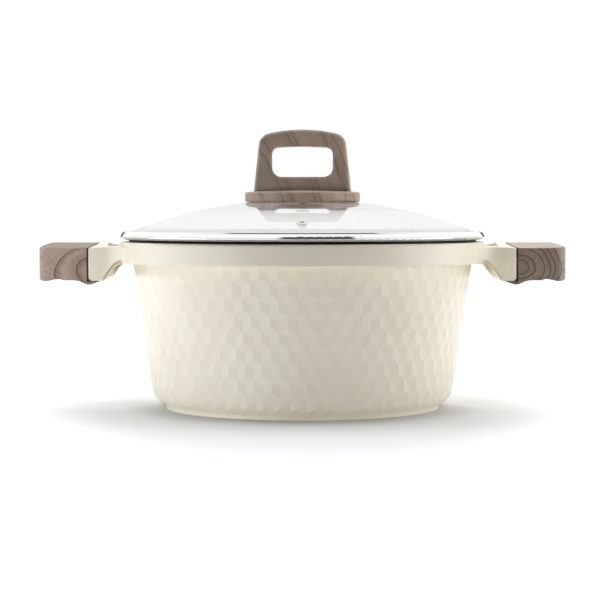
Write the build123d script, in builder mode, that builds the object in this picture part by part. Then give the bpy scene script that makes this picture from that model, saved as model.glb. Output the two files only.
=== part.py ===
from build123d import *
import os
from math import acos, asin, ceil, cos, degrees, floor, pi, radians, sin, sqrt, tan

# Two-handled casserole with a domed glass lid, in millimetres.
# The origin is the centre of the foot ring on the table, +X runs through the right-hand bracket, +Z is up.

# Pot body
pot_height = 114.2
rim_radius = 125.0
rim_band_height = 14.4
rim_edge_round = 1.2
rim_thickness = 4.7
lid_seat_depth = 8.0
lid_seat_round = 1.5
rim_overhang = 8.8
wall_lean = 8.2
wall_thickness = 3.4
corner_radius = 14.4
foot_inset = 7.55
foot_height = 3.0
foot_step = 1.6
floor_thickness = 6.0
inner_corner_radius = 12.0

# Tumbling-block relief: cells round the wall, then lengths measured along the wall
relief_cells = 58
relief_row = 10.75
relief_depth = 0.9
relief_start = 21.0
relief_turn = -1.5

# Brackets, cast with the pot
bracket_length = 19.0
bracket_top_drop = 0.5
bracket_height = 25.5
bracket_half_width = 41.0
bracket_waist_narrowing = 6.0
bracket_waist_run = 13.0
bracket_flare_spread = 7.5
bracket_heel_run = 9.8
bracket_sweep_run = 13.7
bracket_sweep_drop = 5.8
bracket_corner_round = 2.5
handle_slope = 3.1
handle_ridge_round = 40.0
handle_edge_round = 0.7
seam_bow = 3.6
sweep_step = 2.6
slot_width = 7.5
slot_length = 54.0
slot_offset = 4.3
tongue_length = 18.0
tongue_half_width = 24.0
tongue_thickness = 10.0
tongue_rise = 6.8

# Grips
grip_length = 36.4
grip_lean = 1.0
grip_end_bulge = 4.0
grip_end_taper = 4.0
grip_end_round = 8.0
grip_top_round = 9.5
grip_bottom_round = 6.5
grip_scoop = 0.7
grip_scoop_run = 17.0
grip_heel_run = 9.0
grip_lip_drop = 2.3
grip_lip_reach = 6.5
grip_lip_run = 6.0
grip_lip_narrowing = 3.0
grip_seam_gap = 0.3
tongue_fit = 0.3

# Grip screws
grip_screw_offset = 8.5
grip_screw_radius = 2.5
grip_screw_head_radius = 4.5
grip_screw_head_height = 2.2
grip_screw_head_round = 0.8
grip_screw_reach = 9.0
grip_washer_radius = 4.8
grip_washer_thickness = 0.6
grip_wall_under_tongue = 3.2
screw_gap = 0.15
counterbore_gap = 0.4
cross_recess_length = 4.6
cross_recess_width = 1.0
cross_recess_depth = 1.2

# Induction plate
plate_margin = 12.5
plate_thickness = 0.8
plate_recess = 0.4
plate_gap = 0.15
plate_hole_radius = 2.4
plate_rings = 3
plate_ring_step = 20.0
plate_holes_per_ring = 8

# Glass
dome_radius = 326.0
glass_thickness = 3.5
glass_edge_inset = 4.3
glass_edge_drop = 1.3
glass_hole_radius = 4.0

# Lid rim, formed from sheet steel
lid_rim_overhang = 0.3
lid_rim_gap = 1.6
lid_rim_heel = 1.4
lid_rim_bevel = 1.5
lid_rim_undercut = 3.3
lid_rim_lip_width = 5.9
lid_rim_band_radius = 7.5
lid_rim_sheet = 0.6
lid_rim_round = 0.5
skirt_gap = 0.8
seat_gap = 0.3
glass_gap = 0.12

# Steam vent
vent_margin = 20.0
vent_flange_radius = 4.1
vent_flange_thickness = 0.7
vent_flange_round = 0.4
vent_tube_radius = 2.6
vent_bore_radius = 1.8
vent_flare_radius = 3.7
vent_flare_thickness = 0.6
vent_gap = 0.15

# Knob
knob_radius = 39.7
knob_disc_thickness = 5.0
knob_disc_fall = 1.5
knob_disc_round = 1.6
knob_foot_round = 1.2
knob_skirt_width = 3.2
knob_glass_gap = 0.4
arch_height = 41.2
arch_inset = 5.9
arch_taper = 4.5
arch_crown = 4.2
arch_corner_radius = 9.0
arch_half_depth = 12.0
arch_draft = 2.0
arch_edge_round = 2.6
opening_half_width = 21.0
opening_sill = 8.7
opening_bar = 11.5
opening_crown = 0.9
opening_low_round = 7.0
opening_high_round = 4.8
opening_edge_round = 2.0

# Knob fixing
gasket_radius = 16.0
gasket_thickness = 1.5
gasket_hole_radius = 3.0
gasket_gap = 0.05
knob_washer_radius = 11.0
knob_washer_thickness = 1.0
knob_screw_radius = 2.5
knob_screw_head_radius = 4.7
knob_screw_head_height = 2.6
knob_screw_head_round = 0.9
insert_radius = 4.5
insert_length = 10.0
insert_gap = 0.1
screw_end_gap = 1.0

# Heights, radii and angles that follow from the sizes above
band_bottom = pot_height - rim_band_height
mouth_radius = rim_radius - rim_thickness
wall_top_radius = rim_radius - rim_overhang
lid_seat = pot_height - lid_seat_depth
lean = radians(wall_lean)
wall_run = wall_thickness / cos(lean)
corner_x = wall_top_radius - (band_bottom - foot_step) * tan(lean)
corner_tangent = corner_radius * tan((pi / 2 - lean) / 2)
straight_length = (band_bottom - foot_step) / cos(lean) - corner_tangent
corner_length = corner_radius * (pi / 2 - lean)
corner_centre = (corner_x - corner_tangent, foot_step + corner_radius)
foot_radius = corner_x - foot_inset
plate_radius = foot_radius - plate_margin
bracket_reach = rim_radius + bracket_length
bracket_top = pot_height - bracket_top_drop
bracket_bottom = bracket_top - bracket_height
bracket_waist = bracket_half_width - bracket_waist_narrowing
bracket_flare = bracket_half_width + bracket_flare_spread
bracket_root = sqrt(mouth_radius**2 - bracket_flare**2)
seam_radius = (bracket_half_width**2 + seam_bow**2) / (2 * seam_bow)
seam_centre = bracket_reach - seam_bow + seam_radius
tongue_root = bracket_reach - 2 * seam_bow
lip_top = bracket_bottom - grip_seam_gap
slot_reach = rim_radius + slot_offset
tongue_base = bracket_bottom + tongue_rise
grip_start = bracket_reach + grip_seam_gap
grip_reach = bracket_reach + grip_length
grip_end_half_width = bracket_half_width - grip_end_taper
grip_screw_x = bracket_reach + grip_screw_offset
grip_seat = tongue_base - tongue_fit - grip_wall_under_tongue
grip_washer_bottom = grip_seat - grip_washer_thickness
grip_screw_end = tongue_base + grip_screw_reach
lid_rim_radius = rim_radius + lid_rim_overhang
lid_rim_top_radius = lid_rim_radius - lid_rim_bevel
lid_rim_underside_radius = lid_rim_radius - lid_rim_undercut
lid_rim_lip = lid_rim_radius - lid_rim_lip_width
lid_rim_underside = pot_height + lid_rim_gap
lid_rim_low = lid_rim_underside + lid_rim_heel
lid_rim_top = lid_rim_underside + lid_rim_sheet + glass_thickness + 2 * glass_gap + glass_edge_drop
skirt_radius = mouth_radius - skirt_gap
skirt_bottom = lid_seat + seat_gap
glass_edge_radius = lid_rim_radius - glass_edge_inset
dome_centre = lid_rim_top - glass_edge_drop - sqrt(dome_radius**2 - glass_edge_radius**2)
glass_top = dome_centre + dome_radius
glass_under = glass_top - glass_thickness
vent_distance = glass_edge_radius - vent_margin
knob_ceiling = glass_top + gasket_thickness
knob_disc_top = knob_ceiling + knob_disc_thickness
arch_top = knob_disc_top + arch_height
arch_half_width = knob_radius - arch_inset
arch_top_half_width = arch_half_width - arch_taper
arch_top_half_depth = arch_half_depth - arch_draft
opening_bottom = knob_disc_top + opening_sill
opening_top = arch_top - opening_bar
insert_top = knob_ceiling + insert_length
lower_gasket_bottom = glass_under - gasket_thickness
knob_washer_bottom = lower_gasket_bottom - knob_washer_thickness
ON_FLOOR = (Align.CENTER, Align.CENTER, Align.MIN)
HANGING = (Align.CENTER, Align.CENTER, Align.MAX)


def inner_radius(height):
    """Radius of the wall's inner face at a height."""
    return wall_top_radius - (band_bottom - height) * tan(lean) - wall_run


def dome_height(radius, offset=0.0):
    """Height of the glass's outer face, moved outwards by offset, at a distance from the axis."""
    return dome_centre + sqrt((dome_radius + offset) ** 2 - radius**2)


def dome_arc(start, end, offset=0.0):
    """Arc of the dome, moved outwards by offset, between two distances from the axis."""
    places = (start, (start + end) / 2, end)
    return ThreePointArc(*[(place, dome_height(place, offset)) for place in places])


def wall_point(column, distance, lift):
    """Point of the relief: half cells round from the front, distance down the wall, lift off it."""
    past_straight = distance - straight_length
    past_corner = past_straight - corner_length
    if past_straight <= 0:
        facing = -lean
        radius = wall_top_radius - distance * sin(lean)
        height = band_bottom - distance * cos(lean)
    elif past_corner <= 0:
        facing = -lean - past_straight / corner_radius
        radius = corner_centre[0] + corner_radius * cos(facing)
        height = corner_centre[1] + corner_radius * sin(facing)
    else:
        facing = -pi / 2
        radius = corner_centre[0] - past_corner
        height = foot_step
    radius += lift * cos(facing)
    turn = radians(relief_turn - 90) + column * pi / relief_cells
    return Vector(radius * cos(turn), radius * sin(turn), height + lift * sin(facing))


def relief_barrel():
    """Solid with the tumbling-block wall: each cell is three rhombi that meet in a pit and in peaks."""
    side = relief_row / 1.5
    lift = relief_depth / 2
    flat_lift = wall_top_radius * (1 / cos(pi / relief_cells) - 1)
    foot_facing = acos((foot_radius - corner_centre[0]) / corner_radius)
    foot_distance = straight_length + corner_radius * (foot_facing - lean)
    first_row = floor((-side / 2 - lift - relief_start) / relief_row)
    last_row = ceil((foot_distance + lift - relief_start) / relief_row) - 1
    facets = []

    def mid(column, distance):
        return wall_point(column, distance, flat_lift)

    def peak(column, distance):
        return wall_point(column, distance, lift)

    def pit(column, distance):
        return wall_point(column, distance, -lift)

    def add_facet(*corners):
        facets.append(Face(Wire.make_polygon(corners)))

    def columns(row):
        return range(row % 2, 2 * relief_cells, 2)

    for row in range(first_row, last_row + 1):
        top = relief_start + row * relief_row
        for column in columns(row):
            ridge_top = mid(column, top)
            ridge_end = peak(column, top + side)
            below = pit(column, top + 2 * side)
            for beside in (column - 1, column + 1):
                valley_top = pit(beside, top + side / 2)
                valley_end = mid(beside, top + relief_row)
                add_facet(ridge_top, ridge_end, valley_top)
                add_facet(ridge_end, valley_end, valley_top)
                add_facet(ridge_end, valley_end, below)

    # Caps, which the rim band and the foot ring swallow
    first_top = relief_start + first_row * relief_row
    last_top = relief_start + last_row * relief_row
    for column in columns(first_row):
        for beside in (column - 1, column + 1):
            centre = Vector(0, 0, band_bottom + rim_band_height / 2)
            add_facet(mid(column, first_top), pit(beside, first_top + side / 2), centre)
    for column in columns(last_row):
        for beside in (column - 1, column + 1):
            centre = Vector(0, 0, foot_height / 2)
            add_facet(mid(beside, last_top + relief_row), pit(column, last_top + 2 * side), centre)
    return Solid(Shell(facets))


def roof_outline(sketch):
    """Draw the end view of the roof over brackets and grips on a sketch seen along X."""
    reach = 2 * bracket_flare
    eaves = bracket_top - handle_slope * reach / bracket_half_width
    Polygon((-reach, 0), (-reach, eaves), (0, bracket_top), (reach, eaves), (reach, 0), align=None)
    fillet(sketch.vertices().sort_by(Axis.Y)[-1], handle_ridge_round)


def cross_recess():
    """Cross for a screwdriver, drawn on the sketch that is open."""
    for turn in (0, 90):
        Rectangle(cross_recess_length, cross_recess_width, rotation=turn)


vent_slope = asin(vent_distance / dome_radius)
vent_plane = Plane(
    origin=(0, -vent_distance, dome_height(vent_distance)),
    x_dir=(1, 0, 0),
    z_dir=(0, -sin(vent_slope), cos(vent_slope)),
)

# Right-hand bracket with its slot and tongue, before it joins the pot
with BuildPart() as bracket:
    with BuildSketch(Plane.XZ) as outline:
        with BuildLine():
            root = Line((bracket_root, band_bottom), (rim_radius - wall_thickness, band_bottom))
            sweep_in = Spline(
                root @ 1,
                (bracket_reach - bracket_sweep_run, band_bottom - bracket_sweep_drop),
                (bracket_reach - bracket_heel_run, bracket_bottom),
                tangents=((1, 0), (1, -2)),
            )
            Polyline(
                sweep_in @ 1,
                (bracket_reach, bracket_bottom),
                (bracket_reach, pot_height),
                (bracket_root, pot_height),
                root @ 0,
            )
        make_face()
    extrude(amount=bracket_flare, both=True)
    with BuildSketch(Plane.XY.offset(bracket_bottom)):
        flare_x = sqrt((rim_radius - rim_edge_round) ** 2 - bracket_flare**2)
        with BuildLine():
            flank = Spline(
                (flare_x, bracket_flare),
                (bracket_reach - bracket_waist_run, bracket_waist),
                (bracket_reach, bracket_half_width),
                tangents=((bracket_flare, -flare_x), (3, 1)),
            )
            Polyline(
                flank @ 1, (bracket_reach, 0), (bracket_root, 0), (bracket_root, bracket_flare), flank @ 0
            )
        make_face()
        mirror(about=Plane.XZ)
        with Locations((seam_centre, 0)):
            Circle(seam_radius, mode=Mode.SUBTRACT)
    extrude(amount=pot_height - bracket_bottom, mode=Mode.INTERSECT)
    with BuildSketch(Plane.YZ) as roof:
        roof_outline(roof)
    extrude(amount=bracket_reach, mode=Mode.INTERSECT)
    seam = bracket.faces().filter_by(GeomType.CYLINDER).sort_by(Axis.X)[-1]
    fillet(seam.edges().sort_by(Axis.Z)[0], bracket_corner_round)
    seam = bracket.faces().filter_by(GeomType.CYLINDER).sort_by(Axis.X)[-1]
    seam_edges = seam.edges().sort_by(Axis.Z)[1:]
    flank_edges = bracket.edges().filter_by(lambda edge: abs(edge.center().Y) > bracket_waist / 2)
    eaves_edges = flank_edges.filter_by(GeomType.BSPLINE).sort_by(Axis.Z)[-2:]
    fillet(seam_edges + eaves_edges, handle_edge_round)
    # Step under each flank, along the sweep
    raised = sweep_in.moved(Location((0, sweep_step, 0)))
    for side in (1, -1):
        with BuildSketch(Plane.XZ.offset(side * (bracket_waist - sweep_step))):
            with BuildLine():
                add([sweep_in, raised])
                Line(sweep_in @ 0, raised @ 0)
                Line(sweep_in @ 1, raised @ 1)
            make_face()
        extrude(amount=side * bracket_flare, mode=Mode.SUBTRACT)
    with BuildSketch(Plane.XY.offset(bracket_bottom)):
        with Locations((slot_reach, 0)):
            SlotOverall(slot_length, slot_width, rotation=90)
    extrude(amount=pot_height - bracket_bottom, mode=Mode.SUBTRACT)
    with BuildSketch(Plane.XY.offset(tongue_base)):
        with Locations((tongue_root, 0)):
            Rectangle(
                bracket_reach + tongue_length - tongue_root,
                2 * tongue_half_width,
                align=(Align.MIN, Align.CENTER),
            )
    extrude(amount=tongue_thickness)
    with Locations((grip_screw_x, 0, tongue_base)):
        Cylinder(
            grip_screw_radius + screw_gap, tongue_thickness, align=ON_FLOOR, mode=Mode.SUBTRACT
        )

# Pot body
with BuildPart() as pot_body:
    with BuildSketch(Plane.XZ) as rim_band:
        with BuildLine():
            Polyline(
                (0, band_bottom),
                (rim_radius, band_bottom),
                (rim_radius, pot_height),
                (0, pot_height),
                close=True,
            )
        make_face()
        fillet(rim_band.vertices().group_by(Axis.X)[-1], rim_edge_round)
    revolve(axis=Axis.Z)
    add(bracket.part)
    mirror(bracket.part, about=Plane.YZ)
    Cylinder(foot_radius, foot_height, align=ON_FLOOR)
    add(relief_barrel(), clean=False)
    # The inside, the lid's seat and the recess for the induction plate, in one turn
    with BuildSketch(Plane.XZ) as cavity:
        floor_corner = (inner_radius(floor_thickness), floor_thickness)
        seat_corner = (inner_radius(lid_seat), lid_seat)
        with BuildLine():
            Polyline(
                (0, floor_thickness),
                floor_corner,
                seat_corner,
                (mouth_radius, lid_seat),
                (mouth_radius, pot_height + rim_band_height),
                (0, pot_height + rim_band_height),
                close=True,
            )
        make_face()
        fillet(cavity.vertices().sort_by_distance(floor_corner)[0], inner_corner_radius)
        fillet(cavity.vertices().sort_by_distance(seat_corner)[0], lid_seat_round)
        Rectangle(plate_radius + plate_gap, plate_recess + plate_thickness, align=(Align.MIN, Align.MIN))
    revolve(axis=Axis.Z, mode=Mode.SUBTRACT, clean=False)
pot_body.part.label = "pot_body"
os.makedirs("parts", exist_ok=True)
export_step(pot_body.part, "parts/pot_body.step")

# Induction plate
with BuildPart() as induction_plate:
    with BuildSketch(Plane.XY.offset(plate_recess)):
        Circle(plate_radius)
        for ring in range(1, plate_rings + 1):
            with PolarLocations(ring * plate_ring_step, ring * plate_holes_per_ring):
                Circle(plate_hole_radius, mode=Mode.SUBTRACT)
    extrude(amount=plate_thickness)
induction_plate.part.label = "induction_plate"
export_step(induction_plate.part, "parts/induction_plate.step")

# The bracket's end, grown by the seam gap, to shape the grip's inner face
with BuildPart() as seam_block:
    with BuildSketch(Plane.XY.offset(lip_top)):
        with Locations((tongue_root, 0)):
            Rectangle(6 * seam_bow, 2.4 * bracket_half_width)
        with Locations((seam_centre, 0)):
            Circle(seam_radius - grip_seam_gap, mode=Mode.SUBTRACT)
    extrude(amount=2 * bracket_height)
    low_edge = seam_block.edges().filter_by(GeomType.CIRCLE).sort_by(Axis.Z)[0]
    fillet(low_edge, bracket_corner_round + grip_seam_gap)

# Right grip: side outline under the roof, cut to the plan outline, with the tongue's socket
with BuildPart() as right_grip:
    with BuildSketch(Plane.XZ) as outline:
        lip_x = bracket_reach - grip_lip_reach
        inner_x = bracket_reach - seam_bow
        top_corner = (grip_reach - grip_lean, bracket_top)
        low_corner = (grip_reach, bracket_bottom)
        with BuildLine():
            under = Spline(
                (lip_x, lip_top),
                (bracket_reach, bracket_bottom - grip_lip_drop),
                (bracket_reach + grip_lip_run, bracket_bottom),
                (bracket_reach + grip_scoop_run, bracket_bottom + grip_scoop),
                (grip_reach - grip_heel_run, bracket_bottom),
                tangents=((2, -1), (4, -1)),
            )
            Polyline(
                under @ 1, low_corner, top_corner, (inner_x, bracket_top), (inner_x, lip_top), under @ 0
            )
        make_face()
        fillet(outline.vertices().sort_by_distance(top_corner)[0], grip_top_round)
        fillet(outline.vertices().sort_by_distance(low_corner)[0], grip_bottom_round)
    extrude(amount=2 * bracket_half_width, both=True)
    with BuildSketch(Plane.YZ) as roof:
        roof_outline(roof)
    extrude(amount=grip_reach, mode=Mode.INTERSECT)
    with BuildSketch(Plane.XY.offset(bracket_top)) as plan:
        tip_radius = (grip_end_half_width**2 + grip_end_bulge**2) / (2 * grip_end_bulge)
        tip_turn = degrees(asin(grip_end_half_width / tip_radius))
        lip_corner = (lip_x, bracket_half_width - grip_lip_narrowing)
        with BuildLine():
            lip_flank = Line(lip_corner, (grip_start, bracket_half_width))
            tip = CenterArc((grip_reach - tip_radius, 0), tip_radius, 0, tip_turn)
            Spline(lip_flank @ 1, tip @ 1, tangents=((8, 1), (4, -1)))
            Polyline(lip_corner, (lip_x, 0), tip @ 0)
        make_face()
        fillet(plan.vertices().sort_by_distance(tip @ 1)[0], grip_end_round)
        mirror(about=Plane.XZ)
    extrude(amount=-(bracket_height + 2 * grip_lip_drop), mode=Mode.INTERSECT)
    add(seam_block.part, mode=Mode.SUBTRACT)
    flank_edges = right_grip.edges().filter_by(lambda edge: abs(edge.center().Y) > bracket_waist)
    high_edges = flank_edges.filter_by(lambda edge: edge.center().Z > bracket_top - 2 * handle_slope)
    fillet(high_edges.sort_by(SortBy.LENGTH)[-2:], handle_edge_round)
    with BuildSketch(Plane.XY.offset(tongue_base - tongue_fit)):
        with Locations((tongue_root, 0)):
            Rectangle(
                bracket_reach + tongue_length + tongue_fit - tongue_root,
                2 * (tongue_half_width + tongue_fit),
                align=(Align.MIN, Align.CENTER),
            )
    extrude(amount=tongue_thickness + 2 * tongue_fit, mode=Mode.SUBTRACT)
    # Screw hole through the wall under the tongue, and the counterbore for washer and head
    with Locations((grip_screw_x, 0, grip_seat)):
        Cylinder(
            grip_screw_radius + screw_gap, grip_wall_under_tongue, align=ON_FLOOR, mode=Mode.SUBTRACT
        )
        Cylinder(
            grip_washer_radius + counterbore_gap,
            2 * grip_lip_drop + grip_seat - bracket_bottom,
            align=HANGING,
            mode=Mode.SUBTRACT,
        )
right_grip.part.label = "right_grip"
export_step(right_grip.part, "parts/right_grip.step")

# Left grip
with BuildPart() as left_grip:
    mirror(right_grip.part, about=Plane.YZ)
left_grip.part.label = "left_grip"
export_step(left_grip.part, "parts/left_grip.step")

# Lock washer and screw under each grip
for side, screw_x in (("right", grip_screw_x), ("left", -grip_screw_x)):
    with BuildPart() as grip_washer:
        with BuildSketch(Plane((screw_x, 0, grip_washer_bottom))):
            Circle(grip_washer_radius)
            Circle(grip_screw_radius + screw_gap, mode=Mode.SUBTRACT)
        extrude(amount=grip_washer_thickness)
    grip_washer.part.label = f"{side}_grip_washer"
    export_step(grip_washer.part, f"parts/{side}_grip_washer.step")

    with BuildPart() as grip_screw:
        with Locations((screw_x, 0, grip_washer_bottom)):
            Cylinder(grip_screw_head_radius, grip_screw_head_height, align=HANGING)
            Cylinder(grip_screw_radius, grip_screw_end - grip_washer_bottom, align=ON_FLOOR)
        fillet(grip_screw.edges().group_by(Axis.Z)[0], grip_screw_head_round)
        with BuildSketch(Plane((screw_x, 0, grip_washer_bottom - grip_screw_head_height))):
            cross_recess()
        extrude(amount=cross_recess_depth, mode=Mode.SUBTRACT)
    grip_screw.part.label = f"{side}_grip_screw"
    export_step(grip_screw.part, f"parts/{side}_grip_screw.step")

# Lid glass, with the hole for the knob's screw at the top and the one for the vent at the front
with BuildPart() as lid_glass:
    with BuildSketch(Plane.XZ):
        with BuildLine():
            outer = dome_arc(glass_hole_radius, glass_edge_radius)
            inner = dome_arc(glass_hole_radius, glass_edge_radius, -glass_thickness)
            Line(outer @ 0, inner @ 0)
            Line(outer @ 1, inner @ 1)
        make_face()
    revolve(axis=Axis.Z)
    with BuildSketch(vent_plane):
        Circle(vent_tube_radius + vent_gap)
    extrude(amount=2 * glass_thickness, both=True, mode=Mode.SUBTRACT)
lid_glass.part.label = "lid_glass"
export_step(lid_glass.part, "parts/lid_glass.step")

# Lid rim: lip over the glass, bevelled band, and the skirt that drops into the pot's mouth
with BuildPart() as lid_rim:
    with BuildSketch(Plane.XZ) as section:
        groove_radius = glass_edge_radius + glass_gap
        skirt_inside = skirt_radius - lid_rim_sheet
        with BuildLine():
            over = dome_arc(lid_rim_lip, groove_radius, glass_gap)
            under = dome_arc(skirt_inside, groove_radius, -glass_thickness - glass_gap)
            Line(over @ 1, under @ 1)
            lip = Polyline(
                over @ 0,
                over @ 0 + (0, lid_rim_sheet),
                (lid_rim_top_radius - 2 * lid_rim_sheet, lid_rim_top),
                (lid_rim_top_radius, lid_rim_top - lid_rim_sheet),
            )
            band = RadiusArc(lip @ 1, (lid_rim_radius, lid_rim_low), lid_rim_band_radius)
            heel = Line(band @ 1, (lid_rim_underside_radius, lid_rim_underside))
            Polyline(
                heel @ 1,
                (skirt_radius, lid_rim_underside),
                (skirt_radius, skirt_bottom),
                (skirt_inside, skirt_bottom),
                under @ 0,
            )
        make_face()
        for corner in (lip.vertices()[2], lip @ 1, band @ 1, heel @ 1):
            fillet(section.vertices().sort_by_distance(corner)[0], lid_rim_round)
    revolve(axis=Axis.Z)
lid_rim.part.label = "lid_rim"
export_step(lid_rim.part, "parts/lid_rim.step")

# Steam vent: eyelet with a rounded flange on the glass and its tube flared over below
with BuildPart() as steam_vent:
    with BuildSketch(vent_plane.offset(vent_gap)):
        Circle(vent_flange_radius)
    extrude(amount=vent_flange_thickness)
    fillet(steam_vent.edges().sort_by(Axis.Z)[-1], vent_flange_round)
    with BuildSketch(vent_plane.offset(vent_gap)):
        Circle(vent_tube_radius)
    extrude(amount=-(glass_thickness + 2 * vent_gap))
    with BuildSketch(vent_plane.offset(-glass_thickness - vent_gap)):
        Circle(vent_flare_radius)
    extrude(amount=-vent_flare_thickness)
    with BuildSketch(vent_plane):
        Circle(vent_bore_radius)
    extrude(amount=2 * glass_thickness, both=True, mode=Mode.SUBTRACT)
steam_vent.part.label = "steam_vent"
export_step(steam_vent.part, "parts/steam_vent.step")

# Lid knob: drafted arch with a bevelled finger opening, on a round base that hangs over the dome
with BuildPart() as lid_knob:
    with BuildSketch(Plane.XZ) as arch:
        shoulder = Vector(arch_top_half_width, arch_top - arch_crown)
        with BuildLine():
            sill = Line((-arch_half_width, knob_ceiling), (arch_half_width, knob_ceiling))
            crown = ThreePointArc(shoulder, (0, arch_top), (-shoulder.X, shoulder.Y))
            Line(sill @ 1, crown @ 0)
            Line(crown @ 1, sill @ 0)
        make_face()
        fillet(arch.vertices().group_by(Axis.Y)[-1], arch_corner_radius)
    extrude(amount=arch_half_depth, both=True)
    with BuildSketch(Plane.YZ):
        with BuildLine():
            Polyline(
                (-arch_half_depth, knob_ceiling),
                (arch_half_depth, knob_ceiling),
                (arch_top_half_depth, arch_top),
                (-arch_top_half_depth, arch_top),
                close=True,
            )
        make_face()
    extrude(amount=arch_half_width, both=True, mode=Mode.INTERSECT)
    sides = lid_knob.faces().sort_by(Axis.Y)
    outline_edges = sides[0].edges() + sides[-1].edges()
    fillet(outline_edges.filter_by(lambda edge: edge.center().Z > knob_disc_top), arch_edge_round)
    with BuildSketch(Plane.XZ) as opening:
        spring = opening_top - opening_crown
        with BuildLine():
            sill = Line((-opening_half_width, opening_bottom), (opening_half_width, opening_bottom))
            head = ThreePointArc(
                (opening_half_width, spring), (0, opening_top), (-opening_half_width, spring)
            )
            Line(sill @ 1, head @ 0)
            Line(head @ 1, sill @ 0)
        make_face()
        fillet(opening.vertices().group_by(Axis.Y)[0], opening_low_round)
        fillet(opening.vertices().group_by(Axis.Y)[-1], opening_high_round)
    extrude(amount=2 * arch_half_depth, both=True, mode=Mode.SUBTRACT)
    sides = lid_knob.faces().sort_by(Axis.Y)
    fillet(sides[0].inner_wires()[0].edges() + sides[-1].inner_wires()[0].edges(), opening_edge_round)
    with BuildSketch(Plane.XZ) as base:
        skirt_x = knob_radius - knob_skirt_width
        disc_edge = (knob_radius, knob_disc_top - knob_disc_fall)
        with BuildLine():
            sole = dome_arc(skirt_x, knob_radius, knob_glass_gap)
            Polyline(
                sole @ 1,
                disc_edge,
                (0, knob_disc_top),
                (0, knob_ceiling),
                (skirt_x, knob_ceiling),
                sole @ 0,
            )
        make_face()
        fillet(base.vertices().sort_by_distance(disc_edge)[0], knob_disc_round)
        fillet(base.vertices().sort_by_distance(sole @ 1)[0], knob_foot_round)
    revolve(axis=Axis.Z)
    with Locations((0, 0, knob_ceiling)):
        Cylinder(insert_radius + insert_gap, insert_length + insert_gap, align=ON_FLOOR, mode=Mode.SUBTRACT)
lid_knob.part.label = "lid_knob"
export_step(lid_knob.part, "parts/lid_knob.step")

# Threaded insert moulded into the knob
with BuildPart() as knob_insert:
    with BuildSketch(Plane.XY.offset(knob_ceiling)):
        Circle(insert_radius)
        Circle(knob_screw_radius + screw_gap, mode=Mode.SUBTRACT)
    extrude(amount=insert_length)
knob_insert.part.label = "knob_insert"
export_step(knob_insert.part, "parts/knob_insert.step")

# Silicone pads above and below the glass, each shaped to the dome on one face
for pad, flat_face, offset in (
    ("knob_gasket", knob_ceiling, gasket_gap),
    ("lower_gasket", lower_gasket_bottom, -glass_thickness - gasket_gap),
):
    with BuildPart() as gasket:
        with BuildSketch(Plane.XZ):
            with BuildLine():
                bed = dome_arc(gasket_hole_radius, gasket_radius, offset)
                Polyline(bed @ 0, (gasket_hole_radius, flat_face), (gasket_radius, flat_face), bed @ 1)
            make_face()
        revolve(axis=Axis.Z)
    gasket.part.label = pad
    export_step(gasket.part, f"parts/{pad}.step")

# Washer and screw inside the lid
with BuildPart() as knob_washer:
    with BuildSketch(Plane.XY.offset(knob_washer_bottom)):
        Circle(knob_washer_radius)
        Circle(knob_screw_radius + screw_gap, mode=Mode.SUBTRACT)
    extrude(amount=knob_washer_thickness)
knob_washer.part.label = "knob_washer"
export_step(knob_washer.part, "parts/knob_washer.step")

with BuildPart() as knob_screw:
    with Locations((0, 0, knob_washer_bottom)):
        Cylinder(knob_screw_head_radius, knob_screw_head_height, align=HANGING)
        Cylinder(knob_screw_radius, insert_top - screw_end_gap - knob_washer_bottom, align=ON_FLOOR)
    fillet(knob_screw.edges().group_by(Axis.Z)[0], knob_screw_head_round)
    with BuildSketch(Plane.XY.offset(knob_washer_bottom - knob_screw_head_height)):
        cross_recess()
    extrude(amount=cross_recess_depth, mode=Mode.SUBTRACT)
knob_screw.part.label = "knob_screw"
export_step(knob_screw.part, "parts/knob_screw.step")
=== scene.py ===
import math

import bpy
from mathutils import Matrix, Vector

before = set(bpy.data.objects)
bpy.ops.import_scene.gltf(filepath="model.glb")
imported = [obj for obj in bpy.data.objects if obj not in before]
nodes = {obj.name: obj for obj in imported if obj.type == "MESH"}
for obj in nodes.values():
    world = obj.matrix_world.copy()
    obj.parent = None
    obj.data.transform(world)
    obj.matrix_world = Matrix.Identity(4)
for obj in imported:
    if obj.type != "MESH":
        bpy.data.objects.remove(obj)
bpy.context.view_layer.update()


def colour(red, green, blue):
    """Colour of an sRGB triple, 0 to 255, as the shader wants it."""
    linear = []
    for value in (red, green, blue):
        share = value / 255
        linear.append(share / 12.92 if share <= 0.04045 else ((share + 0.055) / 1.055) ** 2.4)
    return (*linear, 1.0)


# Lengths are in metres. A pair is the start and end of a change, by distance, height or turn.

# Camera: level with the lid and a good metre in front
CAMERA_PLACE = Vector((0.0, -1.366, 0.136))
CAMERA_AIM = Vector((0.0, 0.0, 0.072))
CAMERA_LENS = 117.5
SENSOR_WIDTH = 36.0

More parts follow.
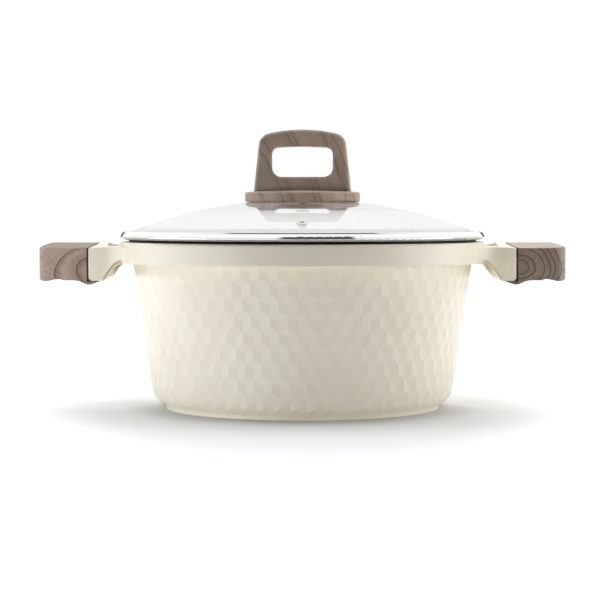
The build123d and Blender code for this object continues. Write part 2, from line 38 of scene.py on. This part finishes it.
# Lamps, as place, size, watts, spread in degrees, aim and tint: a low soft box on each side, a large one
# above and behind, a small one front left and a narrow one for each bracket
POT_MIDDLE = (0.0, 0.0, 0.06)
LOW_WALL = (-0.05, -0.105, 0.03)
LEFT_BRACKET = (-0.137, -0.038, 0.10)
RIGHT_BRACKET = (0.137, -0.038, 0.10)
COOL = (0.87, 0.915, 1.0)
PLAIN = (0.96, 0.975, 1.0)
WARM = (1.0, 0.99, 0.98)
LAMPS = {
    "left_box": ((-1.1, -0.2, 0.24), (0.9, 0.46), 2.2, 180, POT_MIDDLE, COOL),
    "right_box": ((1.1, -0.2, 0.24), (0.9, 0.46), 5.1, 180, POT_MIDDLE, PLAIN),
    "top_box": ((0.0, 0.62, 1.3), (3.0, 2.0), 46.0, 180, POT_MIDDLE, WARM),
    "front_box": ((-0.42, -0.42, 0.06), (0.25, 0.1), 0.092, 50, LOW_WALL, COOL),
    "left_bracket_box": ((-0.28, -0.42, 0.34), (0.06, 0.06), 0.021, 24, LEFT_BRACKET, COOL),
    "right_bracket_box": ((0.25, -0.35, 0.45), (0.06, 0.06), 0.0125, 24, RIGHT_BRACKET, PLAIN),
}
MIRRORED_LAMPS = ("left_box", "right_box")
ROOM_FILL = 0.015

# What mirrors see of the room: white, but dark overhead, where the camera stands and in a strip to each
# side behind. Turns are in radians and heights are those of a direction of length 1.
ROOM_MIRRORED = 1.06
DARK_LEVEL = 0.10
DARK_OVERHEAD = (0.0, 0.208, 0.978)
DARK_OVERHEAD_EDGE = (0.83, 0.87)
DARK_FRONT_TURN = 0.17
DARK_FRONT_WIDTH = (0.36, 0.50)
DARK_FRONT_HEIGHT = (0.62, 0.72)
DARK_BACK_INNER = (0.12, 0.15)
DARK_BACK_OUTER = (0.31, 0.38)
DARK_BACK_HEIGHT = (0.11, 0.16)

# Floor: its fade into the room, the light it sends to the pot, its mirror image in the base and two soft
# painted shadows in its colour, behind the pot and close to it
FLOOR_REACH = 4.0
FLOOR_SEEN = 0.99
FLOOR_BOUNCE = 0.85
FLOOR_RED = 0.97
FLOOR_GREEN = 0.983
FADE_SHAPE = (1.4, 0.7, 0.0)
FADE = (0.16, 0.45)
TABLE_REACH = (0.12, 0.40)
TABLE_GLOW = 0.20
UNDER_POT = (0.088, 0.093)
UNDER_POT_GLOW = 0.6
SHADE_SHAPE = (1.0, 0.75, 0.0)
SHADE_REACH = (0.10, 0.25)
SHADE_FRONT = (-0.03, 0.03)
SHADE_DEPTH = 0.22
CONTACT_SHADE_REACH = (0.092, 0.135)
CONTACT_SHADE_DEPTH = 0.3

# Shared by the materials: the range that holds most values of a noise, the plane of the floor, white, and
# bumps as strength and depth
MIDTONES = (0.3, 0.7)
IN_PLAN = (1.0, 1.0, 0.0)
WHITE = (1.0, 1.0, 1.0, 1.0)
SATIN_BUMP = (0.12, 0.0002)
METAL_BUMP = (0.03, 0.0001)

# Bowed seam between bracket and grip: its arc, the painted highlight on the edge before it and the painted
# shade after it
SEAM_CENTRE = (0.3757, 0.0, 0.0)
SEAM_RADIUS = 0.2350
SEAM_HIGHLIGHT_BAND = (-0.0013, -0.0006)
SEAM_SHADE_BAND = (0.0003, 0.0009)
SEAM_SHADE_DEPTH = 0.9
SEAM_SHADE_SHINE = 0.05
PAINTED_SHADE_BROWN = colour(58, 43, 34)
ABOVE_GRIP_LIP = (0.0874, 0.0882)

# Coating: cream with clouds, specks, a painted highlight on the edge at the seams and an orange peel
CREAM = colour(232, 225, 206)
CREAM_CLOUD = colour(229, 221, 201)
CREAM_SPECK = colour(214, 206, 188)
CREAM_SEAM_HIGHLIGHT = colour(250, 246, 238)
SEAM_HIGHLIGHT_SHARE = 0.8
CLOUD_SCALE = 35.0
CLOUD_CONTRAST = (0.35, 0.65)
SPECK_SCALE = 4200.0
SPECK_CONTRAST = (0.62, 0.78)
SPECK_SHARE = 0.25
SPECK_BUMP = 0.3
PEEL_SCALE = 1400.0
COATING_ROUGHNESS = (0.36, 0.44)
COATING_SHINE = 0.5

# Wood print: the rings' waver and lines, the bands between them, the pores, and painted light and shade:
# on upward faces, at the knob's foot and under its base
RING_DEPTH = 0.3
RING_STRETCH_REACH = (0.006, 0.022)
WAVER_SCALE = 60.0
WAVER = 0.006
LINE_WIDTH = (0.0002, 0.0009)
LINE_SHADE = (-0.006, 0.0)
BAND_SCALE = 140.0
BROAD_SCALE = 40.0
BAND_CONTRAST = (0.7, 1.3)
PORE_LEAN = 0.6
PORES_ALONG = 200.0
PORES_ACROSS = 1300.0
PORE_CONTRAST = (0.48, 0.70)
PORE_INK = 0.6
PAINTED_LIGHT_SLOPE = (0.25, 0.6)
PAINTED_LIGHT_SHARE = 0.35
PAINTED_TOP_SLOPE = (0.75, 0.95)
PAINTED_TOP_SHARE = 0.8
WOOD_SHINE = 0.35
WOOD_ROUGHNESS = (0.38, 0.50)
WOOD_DARK = colour(84, 66, 53)
WOOD_PAINTED_LIGHT = colour(216, 201, 189)
PAINTED_FOOT_HEIGHTS = (0.150, 0.164)
KNOB_BASE_SHADE = (0.1413, 0.1422)
KNOB_BASE_SHADE_DEPTH = 0.8

# Each wood: the rings' centre, their stretch upwards near it and far from it, their distances from it, the
# pores' direction in radians, the strength of lines and of the shade inside them, the browns, the tone
# painted on the tops for the light and shade there, the painted light at the arch's foot and whether the
# piece meets a bracket, where the seam gets painted shade
WOODS = {
    "left_grip": {
        "name": "left_wood",
        "centre": (-0.143, -0.04, 0.0945),
        "stretch": (0.85, 1.38),
        "rings": (0.0083, 0.0228),
        "grain": -0.95,
        "ink": 0.9,
        "shading": 0.5,
        "light": colour(170, 149, 132),
        "mid": colour(146, 126, 111),
        "dark": WOOD_DARK,
        "painted_top": colour(106, 87, 71),
        "painted_foot_light": 0.0,
        "seam": True,
    },
    "right_grip": {
        "name": "right_wood",
        "centre": (0.1456, -0.04, 0.098),
        "stretch": (1.35, 1.35),
        "rings": (0.0057, 0.0102, 0.0169, 0.0214, 0.0245, 0.0287),
        "grain": 1.45,
        "ink": 0.9,
        "shading": 0.4,
        "light": colour(148, 130, 116),
        "mid": colour(126, 109, 96),
        "dark": colour(74, 60, 51),
        "painted_top": colour(174, 160, 149),
        "painted_foot_light": 0.0,
        "seam": True,
    },
    "lid_knob": {
        "name": "knob_wood",
        "centre": (-0.1, 0.0, 0.12),
        "stretch": (1.0, 1.0),
        "rings": (0.076, 0.078, 0.0903, 0.0965, 0.1115, 0.115, 0.132, 0.138),
        "grain": -1.25,
        "ink": 0.42,
        "shading": 0.3,
        "light": colour(190, 168, 150),
        "mid": colour(166, 144, 128),
        "dark": WOOD_DARK,
        "painted_top": colour(168, 149, 135),
        "painted_foot_light": 0.28,
        "seam": False,
    },
}

# Glass: how its mirror grows as it is seen flatter, and how the mirror changes with height on the dome
GLASS_TINT = (0.985, 0.987, 0.985, 1.0)
GLASS_FALL = 2.6
MIRROR_GAIN = 0.93
MIRROR_LEAST = 0.07
MIRROR_MOST = 0.85
NEAR_KNOB = (0.1345, 0.137)
NEAR_KNOB_GAIN = (0.65, 1.5)
UPPER_DOME = (0.130, 0.135)
UPPER_DOME_GAIN = (0.7, 1.0)
NEAR_RIM = (0.1232, 0.125)
NEAR_RIM_GAIN = 1.4
SMEAR_SCALE = 20.0
SMEAR_CONTRAST = (0.4, 0.8)
SMEAR_ROUGHNESS = 0.02

# Metals and silicone have two tones, mixed by streaks, rings or clouds at a scale

# Vent: the height where the flange ends, and how milky the sleeve under it is
VENT_TONES = (colour(248, 248, 246), colour(238, 238, 236))
VENT_STREAKS = (300.0, 300.0, 900.0)
VENT_ROUGHNESS = (0.42, 0.52)
VENT_METAL = 0.3
VENT_SLEEVE_TOP = 0.1262
SLEEVE_MILK = 0.1

# Rim: heights and radii of the skirt, the bowed band with its heel, the lip and the groove round the glass
RIM_TONES = (colour(250, 250, 250), colour(243, 243, 242))
RIM_STREAKS = (60.0, 60.0, 900.0)
RIM_ROUGHNESS = (0.03, 0.07)
LOW_BAND_PAINTED_SHADE = colour(214, 214, 214)
SEAL_AND_PAINTED_HEEL_TONE = colour(246, 246, 244)
SKIRT_PAINTED_SHADE = colour(36, 34, 32)
SKIRT_TOP = (0.1158, 0.1160)
HEEL_TOP = 0.1172
LOW_BAND = (0.117, 0.1194)
SEAL_TOP = 0.1211
GROOVE_RADIUS = 0.1213
LIP_RADIUS = 0.1195
HEEL_PAINTED_LIGHT = 0.4
SEAL_ROUGHNESS = 0.6

# Screws and washers, induction plate, the knob's pads and its insert
SCREW_TONES = (colour(212, 212, 209), colour(202, 202, 199))
SCREW_STREAKS = (700.0, 700.0, 700.0)
SCREW_ROUGHNESS = (0.36, 0.48)
PLATE_TONES = (colour(196, 196, 194), colour(172, 172, 170))
PLATE_RINGS = 2500.0
PLATE_ROUGHNESS = (0.28, 0.42)
PLATE_BUMP = (0.2, 0.0001)
SILICONE_TONES = (colour(228, 227, 220), colour(214, 213, 206))
SILICONE_CLOUDS = 300.0
SILICONE_ROUGHNESS = (0.4, 0.55)
SILICONE_GLOW = 0.2
SILICONE_DEPTH = (0.002, 0.002, 0.002)
BRASS_TONES = (colour(205, 170, 95), colour(184, 148, 78))
BRASS_STREAKS = (200.0, 200.0, 4000.0)
BRASS_ROUGHNESS = (0.2, 0.34)


class Tree:
    """A node tree being built, with short calls for the nodes it needs."""

    def __init__(self, owner):
        owner.use_nodes = True
        self.tree = owner.node_tree
        self.tree.nodes.clear()

    def add(self, kind, inputs, output=0, **settings):
        """Add a node, set or link its inputs by name or number, and return one of its outputs."""
        node = self.tree.nodes.new("ShaderNode" + kind)
        for key, value in settings.items():
            setattr(node, key, value)
        for key, value in inputs.items():
            if isinstance(value, bpy.types.NodeSocket):
                self.tree.links.new(value, node.inputs[key])
            else:
                node.inputs[key].default_value = value
        return node.outputs[output]

    def surface(self, kind, shader):
        """Make a shader the surface of the material or the world."""
        node = self.tree.nodes.new("ShaderNodeOutput" + kind)
        self.tree.links.new(shader, node.inputs["Surface"])

    def math(self, operation, first, second=0.0, third=0.0):
        return self.add("Math", {0: first, 1: second, 2: third}, operation=operation)

    def vector(self, operation, first, second=(0.0, 0.0, 0.0)):
        output = 1 if operation in ("LENGTH", "DOT_PRODUCT") else 0
        return self.add("VectorMath", {0: first, 1: second}, output, operation=operation)

    def between(self, value, low, high, start=0.0, end=1.0):
        """Smooth step of value from low to high, mapped onto start to end."""
        inputs = {"Value": value, "From Min": low, "From Max": high, "To Min": start, "To Max": end}
        return self.add("MapRange", inputs, interpolation_type="SMOOTHSTEP")

    def noise(self, place, scale, detail=2.0, roughness=0.5):
        inputs = {"Vector": place, "Scale": scale, "Detail": detail, "Roughness": roughness}
        return self.add("TexNoise", inputs)

    def streaks(self, stretch):
        """Noise stretched along the piece, one scale for each direction."""
        return self.noise(self.vector("MULTIPLY", self.place(), stretch), 1.0)

    def mix(self, amount, first, second):
        """Number mixed by amount."""
        return self.add("Mix", {"Factor": amount, 2: first, 3: second}, 0)

    def blend(self, amount, first, second):
        """Colour mixed by amount."""
        return self.add("Mix", {"Factor": amount, 6: first, 7: second}, 2, data_type="RGBA")

    def bump(self, height, strength, distance):
        return self.add("Bump", {"Height": height, "Strength": strength, "Distance": distance})

    def place(self):
        """Point on the piece, in the part's frame at rest."""
        return self.add("TexCoord", {}, "Object")

    def upward(self, vector):
        """Height of a point, or how far a direction points up."""
        return self.add("SeparateXYZ", {0: vector}, "Z")

    def reach(self, point, shape):
        """Distance of a point from the middle, with each direction scaled."""
        return self.vector("LENGTH", self.vector("MULTIPLY", point, shape))

    def ray(self, kind):
        return self.add("LightPath", {}, kind)

    def seen(self):
        """1 on rays from the camera, from mirrors and through glass."""
        direct = self.math("MAXIMUM", self.ray("Is Camera Ray"), self.ray("Is Glossy Ray"))
        return self.math("MAXIMUM", direct, self.ray("Is Transmission Ray"))


def new_material(name):
    material = bpy.data.materials.new(name)
    return material, Tree(material)


def finish_material(tree, inputs):
    """Principled shader with these inputs, as the material's surface."""
    tree.surface("Material", tree.add("BsdfPrincipled", inputs))


def make_camera():
    data = bpy.data.cameras.new("camera")
    data.lens = CAMERA_LENS
    data.sensor_width = SENSOR_WIDTH
    camera = bpy.data.objects.new("camera", data)
    camera.location = CAMERA_PLACE
    camera.rotation_euler = (CAMERA_AIM - CAMERA_PLACE).to_track_quat("-Z", "Y").to_euler()
    bpy.context.scene.collection.objects.link(camera)
    bpy.context.scene.camera = camera


def make_lamp(name, place, size, watts, spread, aim, tint):
    """Soft box at a place, turned to its aim; only the side boxes show in mirrors."""
    data = bpy.data.lights.new(name, "AREA")
    data.shape = "RECTANGLE"
    data.size, data.size_y = size
    data.energy = watts
    data.spread = math.radians(spread)
    data.color = tint
    lamp = bpy.data.objects.new(name, data)
    lamp.location = place
    lamp.visible_glossy = name in MIRRORED_LAMPS
    lamp.rotation_euler = (Vector(aim) - Vector(place)).to_track_quat("-Z", "Y").to_euler()
    bpy.context.scene.collection.objects.link(lamp)


def make_world():
    """White to the camera and through glass, with dark parts in mirrors, and a soft fill for the rest."""
    world = bpy.data.worlds.new("room")
    bpy.context.scene.world = world
    tree = Tree(world)
    toward = tree.add("TexCoord", {}, "Generated")
    split = tree.upward(toward).node.outputs
    turn = tree.math("ARCTAN2", split["X"], tree.math("MULTIPLY", split["Y"], -1.0))
    off_front = tree.math("ABSOLUTE", tree.math("SUBTRACT", turn, DARK_FRONT_TURN))
    off_back = tree.math("SUBTRACT", math.pi, tree.math("ABSOLUTE", turn))
    beside = tree.between(off_front, *DARK_FRONT_WIDTH)
    above = tree.between(split["Z"], *DARK_FRONT_HEIGHT)
    inside = tree.between(off_back, *DARK_BACK_INNER, 1.0, 0.0)
    outside = tree.between(off_back, *DARK_BACK_OUTER)
    overhead = tree.vector("DOT_PRODUCT", toward, DARK_OVERHEAD)
    below = tree.between(overhead, *DARK_OVERHEAD_EDGE, 1.0, 0.0)
    open_front = tree.math("MAXIMUM", beside, above)
    over_strip = tree.between(split["Z"], *DARK_BACK_HEIGHT)
    open_back = tree.math("MAXIMUM", tree.math("MAXIMUM", inside, outside), over_strip)
    open_room = tree.math("MULTIPLY", below, tree.math("MULTIPLY", open_front, open_back))
    mirrored = tree.between(open_room, 0.0, 1.0, DARK_LEVEL, ROOM_MIRRORED)
    strength = tree.between(tree.seen(), 0.0, 1.0, ROOM_FILL, 1.0)
    strength = tree.mix(tree.ray("Is Glossy Ray"), strength, mirrored)
    tree.surface("World", tree.add("Background", {"Color": WHITE, "Strength": strength}))


def make_floor():
    """Pale floor that keeps the pot's shadow, with painted soft shadows round it, fades into the white
    room and is clear from below.
    """
    mesh = bpy.data.meshes.new("floor")
    corners = [(x * FLOOR_REACH, y * FLOOR_REACH, 0) for x, y in ((-1, -1), (1, -1), (1, 1), (-1, 1))]
    mesh.from_pydata(corners, [], [(0, 1, 2, 3)])
    floor = bpy.data.objects.new("floor", mesh)
    bpy.context.scene.collection.objects.link(floor)
    material, tree = new_material("floor")
    spot = tree.add("NewGeometry", {}, "Position")
    distance = tree.vector("LENGTH", spot)
    seen = tree.seen()

    room = tree.between(tree.reach(spot, FADE_SHAPE), *FADE)
    table = tree.between(distance, *TABLE_REACH, TABLE_GLOW, 0.0)
    under_pot = tree.between(distance, *UNDER_POT, UNDER_POT_GLOW, 0.0)
    under_pot = tree.math("MULTIPLY", under_pot, tree.ray("Is Glossy Ray"))
    glow = tree.math("MAXIMUM", tree.mix(seen, table, room), under_pot)
    light = tree.add("Emission", {"Color": WHITE, "Strength": glow})

    # Painted shadow: the floor's colour is darkened behind the pot and close round its foot, on top of the
    # real shadow.
    behind = tree.between(tree.add("SeparateXYZ", {0: spot}, "Y"), *SHADE_FRONT)
    painted_shade_near = tree.between(tree.reach(spot, SHADE_SHAPE), *SHADE_REACH, SHADE_DEPTH, 0.0)
    shade = tree.math("MULTIPLY", tree.math("MULTIPLY", behind, painted_shade_near), seen)
    contact_shade = tree.math("MULTIPLY", tree.between(distance, *CONTACT_SHADE_REACH, CONTACT_SHADE_DEPTH, 0.0), seen)
    shade = tree.math("MAXIMUM", shade, contact_shade)
    grey = tree.between(seen, 0.0, 1.0, FLOOR_BOUNCE, FLOOR_SEEN)
    grey = tree.math("MULTIPLY", grey, tree.math("SUBTRACT", 1.0, shade))
    red = tree.math("MULTIPLY", grey, FLOOR_RED)
    green = tree.math("MULTIPLY", grey, FLOOR_GREEN)
    pale = tree.add("CombineColor", {0: red, 1: green, 2: grey})
    matt = tree.add("BsdfDiffuse", {"Color": pale})

    from_above = tree.add("AddShader", {0: matt, 1: light})
    from_below = tree.add("BsdfTransparent", {})
    below = tree.add("NewGeometry", {}, "Backfacing")
    tree.surface("Material", tree.add("MixShader", {0: below, 1: from_above, 2: from_below}))
    mesh.materials.append(material)


def seam_depth(tree, place):
    """Distance past the bowed seam between bracket and grip, towards the grip's end, on either side."""
    outward = tree.vector("MULTIPLY", tree.vector("ABSOLUTE", place), IN_PLAN)
    centred = tree.vector("SUBTRACT", outward, SEAM_CENTRE)
    return tree.math("SUBTRACT", SEAM_RADIUS, tree.vector("LENGTH", centred))


def coating():
    """Satin cream coating with clouds, fine specks, an orange peel and a painted highlight at the seams.
    """
    material, tree = new_material("cream_coating")
    place = tree.place()
    cloud = tree.noise(place, CLOUD_SCALE, detail=3.0)
    peel = tree.noise(place, PEEL_SCALE)
    speck = tree.noise(place, SPECK_SCALE, detail=1.0)
    cream = tree.blend(tree.between(cloud, *CLOUD_CONTRAST), CREAM, CREAM_CLOUD)
    cream = tree.blend(tree.between(speck, *SPECK_CONTRAST, 0.0, SPECK_SHARE), cream, CREAM_SPECK)
    # Painted highlight: the bracket's edge just before the seam is lighter, as if its rounding caught the
    # light.
    edge = tree.between(seam_depth(tree, place), *SEAM_HIGHLIGHT_BAND, 0.0, SEAM_HIGHLIGHT_SHARE)
    uneven = tree.math("ADD", peel, tree.math("MULTIPLY", speck, SPECK_BUMP))
    finish_material(tree, {
        "Base Color": tree.blend(edge, cream, CREAM_SEAM_HIGHLIGHT),
        "Roughness": tree.between(peel, *MIDTONES, *COATING_ROUGHNESS),
        "Specular IOR Level": COATING_SHINE,
        "Normal": tree.bump(uneven, *SATIN_BUMP),
    })
    return material


def ring_lines(tree, ring, rings, shading):
    """1 on each ring's line, falling off through a soft shade inside it."""
    line = 0.0
    for distance in rings:
        off = tree.math("SUBTRACT", ring, distance)
        sharp = tree.between(tree.math("ABSOLUTE", off), *LINE_WIDTH, 1.0, 0.0)
        soft = tree.between(off, *LINE_SHADE, 0.0, shading)
        soft = tree.math("MULTIPLY", soft, tree.math("LESS_THAN", off, 0.0))
        line = tree.math("MAXIMUM", line, tree.math("MAXIMUM", sharp, soft))
    return line


def wood(name, centre, stretch, rings, grain, ink, shading, light, mid, dark, painted_top, painted_foot_light, seam):
    """Printed wood grain on satin plastic: ring lines round a centre, with bands and fine pores, plus
    painted light and shade.
    """
    material, tree = new_material(name)
    place = tree.place()
    height = tree.upward(place)
    offset = tree.vector("SUBTRACT", place, centre)
    tall = tree.between(tree.vector("LENGTH", offset), *RING_STRETCH_REACH, *stretch)
    shape = tree.add("CombineXYZ", {0: 1.0, 1: RING_DEPTH, 2: tall})
    waver = tree.math("SUBTRACT", tree.noise(place, WAVER_SCALE, detail=3.0), 0.5)
    ring = tree.math("ADD", tree.reach(offset, shape), tree.math("MULTIPLY", waver, WAVER))
    along = tree.vector("DOT_PRODUCT", place, (math.cos(grain), 0.0, math.sin(grain)))
    across = tree.vector("DOT_PRODUCT", place, (-math.sin(grain), PORE_LEAN, math.cos(grain)))
    along = tree.math("MULTIPLY", along, PORES_ALONG)
    across = tree.math("MULTIPLY", across, PORES_ACROSS)
    pores = tree.noise(tree.add("CombineXYZ", {0: along, 1: across}), 1.0, detail=3.0, roughness=0.6)
    band = tree.noise(tree.add("CombineXYZ", {0: tree.math("MULTIPLY", ring, BAND_SCALE)}), 1.0)
    bands = tree.math("ADD", band, tree.noise(place, BROAD_SCALE))

    brown = tree.blend(tree.between(bands, *BAND_CONTRAST), light, mid)
    brown = tree.blend(tree.between(pores, *PORE_CONTRAST, 0.0, PORE_INK * ink), brown, dark)
    line = ring_lines(tree, ring, rings, shading)
    brown = tree.blend(tree.math("MULTIPLY", line, ink), brown, dark)
    slope = tree.upward(tree.add("NewGeometry", {}, "Normal"))
    # Painted light and shade: faces turned upward are lighter, and the tops take a tone of their own for
    # how the light falls there.
    brown = tree.blend(tree.between(slope, *PAINTED_LIGHT_SLOPE, 0.0, PAINTED_LIGHT_SHARE), brown, WOOD_PAINTED_LIGHT)
    brown = tree.blend(tree.between(slope, *PAINTED_TOP_SLOPE, 0.0, PAINTED_TOP_SHARE), brown, painted_top)
    # Painted light: the lowest part of the knob's arch is lighter, standing in for light at its foot.
    if painted_foot_light:
        low = tree.between(height, *PAINTED_FOOT_HEIGHTS, painted_foot_light, 0.0)
        low = tree.math("MULTIPLY", low, tree.math("GREATER_THAN", height, PAINTED_FOOT_HEIGHTS[0]))
        brown = tree.blend(low, brown, WOOD_PAINTED_LIGHT)
        # Painted shade: a dark line under the knob's base, where it meets the glass.
        edge = tree.between(height, *KNOB_BASE_SHADE, KNOB_BASE_SHADE_DEPTH, 0.0)
        brown = tree.blend(edge, brown, PAINTED_SHADE_BROWN)
    shine = WOOD_SHINE
    if seam:
        # Painted shade: the grip just past the seam is darker and less shiny, where shade falls between
        # grip and bracket.
        painted_shade_near = tree.between(seam_depth(tree, place), *SEAM_SHADE_BAND, SEAM_SHADE_DEPTH, 0.0)
        painted_shade_near = tree.math("MULTIPLY", painted_shade_near, tree.between(height, *ABOVE_GRIP_LIP))
        brown = tree.blend(painted_shade_near, brown, PAINTED_SHADE_BROWN)
        shine = tree.between(painted_shade_near, 0.0, SEAM_SHADE_DEPTH, WOOD_SHINE, SEAM_SHADE_SHINE)
    finish_material(tree, {
        "Base Color": brown,
        "Roughness": tree.between(pores, *MIDTONES, *WOOD_ROUGHNESS),
        "Specular IOR Level": shine,
        "Normal": tree.bump(tree.math("SUBTRACT", 1.0, pores), *SATIN_BUMP),
    })
    return material


def clear_glass():
    """Clear glass: a thin sheet whose outside mirrors more the flatter it is seen, with faint smears."""
    material, tree = new_material("clear_glass")
    place = tree.place()
    height = tree.upward(place)
    smear = tree.noise(place, SMEAR_SCALE)
    shape = tree.add("NewGeometry", {}, "Backfacing").node.outputs
    outer = tree.math("GREATER_THAN", tree.upward(shape["Normal"]), 0.0)
    outer = tree.math("MULTIPLY", outer, tree.math("SUBTRACT", 1.0, shape["Backfacing"]))
    flat = tree.add("LayerWeight", {"Blend": 0.5}, "Facing")
    mirror = tree.math("POWER", flat, GLASS_FALL)
    mirror = tree.math("MULTIPLY_ADD", mirror, MIRROR_GAIN, MIRROR_LEAST)
    mirror = tree.math("MULTIPLY", mirror, tree.between(height, *NEAR_KNOB, *NEAR_KNOB_GAIN))
    mirror = tree.math("MULTIPLY", mirror, tree.between(height, *UPPER_DOME, *UPPER_DOME_GAIN))
    edge = tree.math("MULTIPLY", flat, tree.between(height, *NEAR_RIM, NEAR_RIM_GAIN, 0.0))
    mirror = tree.math("MINIMUM", tree.math("MAXIMUM", mirror, edge), MIRROR_MOST)
    mirror = tree.math("MULTIPLY", mirror, outer)
    clear = tree.add("BsdfTransparent", {"Color": GLASS_TINT})
    rough = tree.between(smear, *SMEAR_CONTRAST, 0.0, SMEAR_ROUGHNESS)
    shiny = tree.add("BsdfGlossy", {"Roughness": rough})
    tree.surface("Material", tree.add("MixShader", {0: mirror, 1: clear, 2: shiny}))
    return material


def screw_steel():
    """Dull steel of screws and washers."""
    material, tree = new_material("screw_steel")
    streak = tree.streaks(SCREW_STREAKS)
    finish_material(tree, {
        "Base Color": tree.blend(streak, *SCREW_TONES),
        "Metallic": 1.0,
        "Roughness": tree.between(streak, *MIDTONES, *SCREW_ROUGHNESS),
        "Normal": tree.bump(streak, *METAL_BUMP),
    })
    return material


def vent_steel():
    """Satin steel of the vent's flange, over the clear silicone of its sleeve through the glass."""
    material, tree = new_material("vent_steel")
    streak = tree.streaks(VENT_STREAKS)
    satin = {
        "Base Color": tree.blend(streak, *VENT_TONES),
        "Roughness": tree.between(streak, *MIDTONES, *VENT_ROUGHNESS),
        "Normal": tree.bump(streak, *METAL_BUMP),
    }
    flange = tree.add("BsdfPrincipled", {**satin, "Metallic": VENT_METAL})
    milk = tree.add("BsdfPrincipled", satin)
    clear = tree.add("BsdfRefraction", {"Color": GLASS_TINT, "Roughness": 0.0, "IOR": 1.0})
    sleeve = tree.add("MixShader", {0: SLEEVE_MILK, 1: clear, 2: milk})
    above = tree.math("GREATER_THAN", tree.upward(tree.place()), VENT_SLEEVE_TOP)
    tree.surface("Material", tree.add("MixShader", {0: above, 1: sleeve, 2: flange}))
    return material


def rim_steel():
    """Polished steel of the lid's rim, sealed white at the glass, with painted shade on the skirt and low
    band and painted light on the heel.
    """
    material, tree = new_material("rim_steel")
    place = tree.place()
    height = tree.upward(place)
    radius = tree.reach(place, IN_PLAN)
    streak = tree.streaks(RIM_STREAKS)
    # Painted shade: the skirt inside the pot is dark, where the gap under the band falls in shade.
    skirt = tree.between(height, *SKIRT_TOP, 1.0, 0.0)
    in_groove = tree.math("LESS_THAN", radius, GROOVE_RADIUS)
    in_groove = tree.math("MULTIPLY", in_groove, tree.math("LESS_THAN", height, SEAL_TOP))
    seal_and_painted_heel = tree.math("MAXIMUM", in_groove, tree.math("LESS_THAN", radius, LIP_RADIUS))
    # Painted light: the heel under the band takes part of the seal's white and less shine, so it reads
    # light instead of mirroring the dark gap.
    heel = tree.math("LESS_THAN", height, HEEL_TOP)
    heel = tree.math("MULTIPLY", heel, tree.math("GREATER_THAN", radius, GROOVE_RADIUS))
    seal_and_painted_heel = tree.math("MAXIMUM", seal_and_painted_heel, tree.math("MULTIPLY", heel, HEEL_PAINTED_LIGHT))
    seal_and_painted_heel = tree.math("MULTIPLY", seal_and_painted_heel, tree.math("SUBTRACT", 1.0, skirt))
    # Painted shade: the band is greyer towards its lower edge, above the heel.
    painted_band_shade = tree.between(height, *LOW_BAND, 1.0, 0.0)
    painted_band_shade = tree.math("MULTIPLY", painted_band_shade, tree.math("GREATER_THAN", height, HEEL_TOP))
    shade = tree.blend(painted_band_shade, tree.blend(streak, *RIM_TONES), LOW_BAND_PAINTED_SHADE)
    shade = tree.blend(seal_and_painted_heel, shade, SEAL_AND_PAINTED_HEEL_TONE)
    polish = tree.between(streak, *MIDTONES, *RIM_ROUGHNESS)
    dull = tree.math("MULTIPLY", tree.math("MAXIMUM", skirt, seal_and_painted_heel), SEAL_ROUGHNESS)
    finish_material(tree, {
        "Base Color": tree.blend(skirt, shade, SKIRT_PAINTED_SHADE),
        "Metallic": tree.math("SUBTRACT", 1.0, seal_and_painted_heel),
        "Roughness": tree.math("MAXIMUM", polish, dull),
        "Normal": tree.bump(streak, *METAL_BUMP),
    })
    return material


def turned_steel():
    """Steel of the induction plate, with the rings that turning leaves."""
    material, tree = new_material("turned_steel")
    radius = tree.reach(tree.place(), IN_PLAN)
    ring = tree.noise(tree.add("CombineXYZ", {0: tree.math("MULTIPLY", radius, PLATE_RINGS)}), 1.0)
    finish_material(tree, {
        "Base Color": tree.blend(ring, *PLATE_TONES),
        "Metallic": 1.0,
        "Roughness": tree.between(ring, *MIDTONES, *PLATE_ROUGHNESS),
        "Normal": tree.bump(ring, *PLATE_BUMP),
    })
    return material


def silicone():
    """Milky silicone of the knob's pads."""
    material, tree = new_material("silicone")
    cloud = tree.noise(tree.place(), SILICONE_CLOUDS)
    finish_material(tree, {
        "Base Color": tree.blend(cloud, *SILICONE_TONES),
        "Roughness": tree.between(cloud, *MIDTONES, *SILICONE_ROUGHNESS),
        "Subsurface Weight": SILICONE_GLOW,
        "Subsurface Radius": SILICONE_DEPTH,
    })
    return material


def brass():
    """Turned brass of the knob's insert."""
    material, tree = new_material("brass")
    streak = tree.streaks(BRASS_STREAKS)
    finish_material(tree, {
        "Base Color": tree.blend(streak, *BRASS_TONES),
        "Metallic": 1.0,
        "Roughness": tree.between(streak, *MIDTONES, *BRASS_ROUGHNESS),
    })
    return material


def dress(material, *names):
    """Give CAD nodes a material."""
    for name in names:
        slots = nodes[name].data.materials
        slots.clear()
        slots.append(material)


make_camera()
make_world()
make_floor()
for lamp_name, lamp in LAMPS.items():
    make_lamp(lamp_name, *lamp)

dress(coating(), "pot_body")
for piece, look in WOODS.items():
    dress(wood(**look), piece)
dress(clear_glass(), "lid_glass")
dress(rim_steel(), "lid_rim")
dress(vent_steel(), "steam_vent")
dress(screw_steel(), "left_grip_screw", "right_grip_screw", "left_grip_washer", "right_grip_washer",
      "knob_washer", "knob_screw")
dress(turned_steel(), "induction_plate")
dress(silicone(), "knob_gasket", "lower_gasket")
dress(brass(), "knob_insert")

bpy.context.scene.view_settings.view_transform = "Standard"
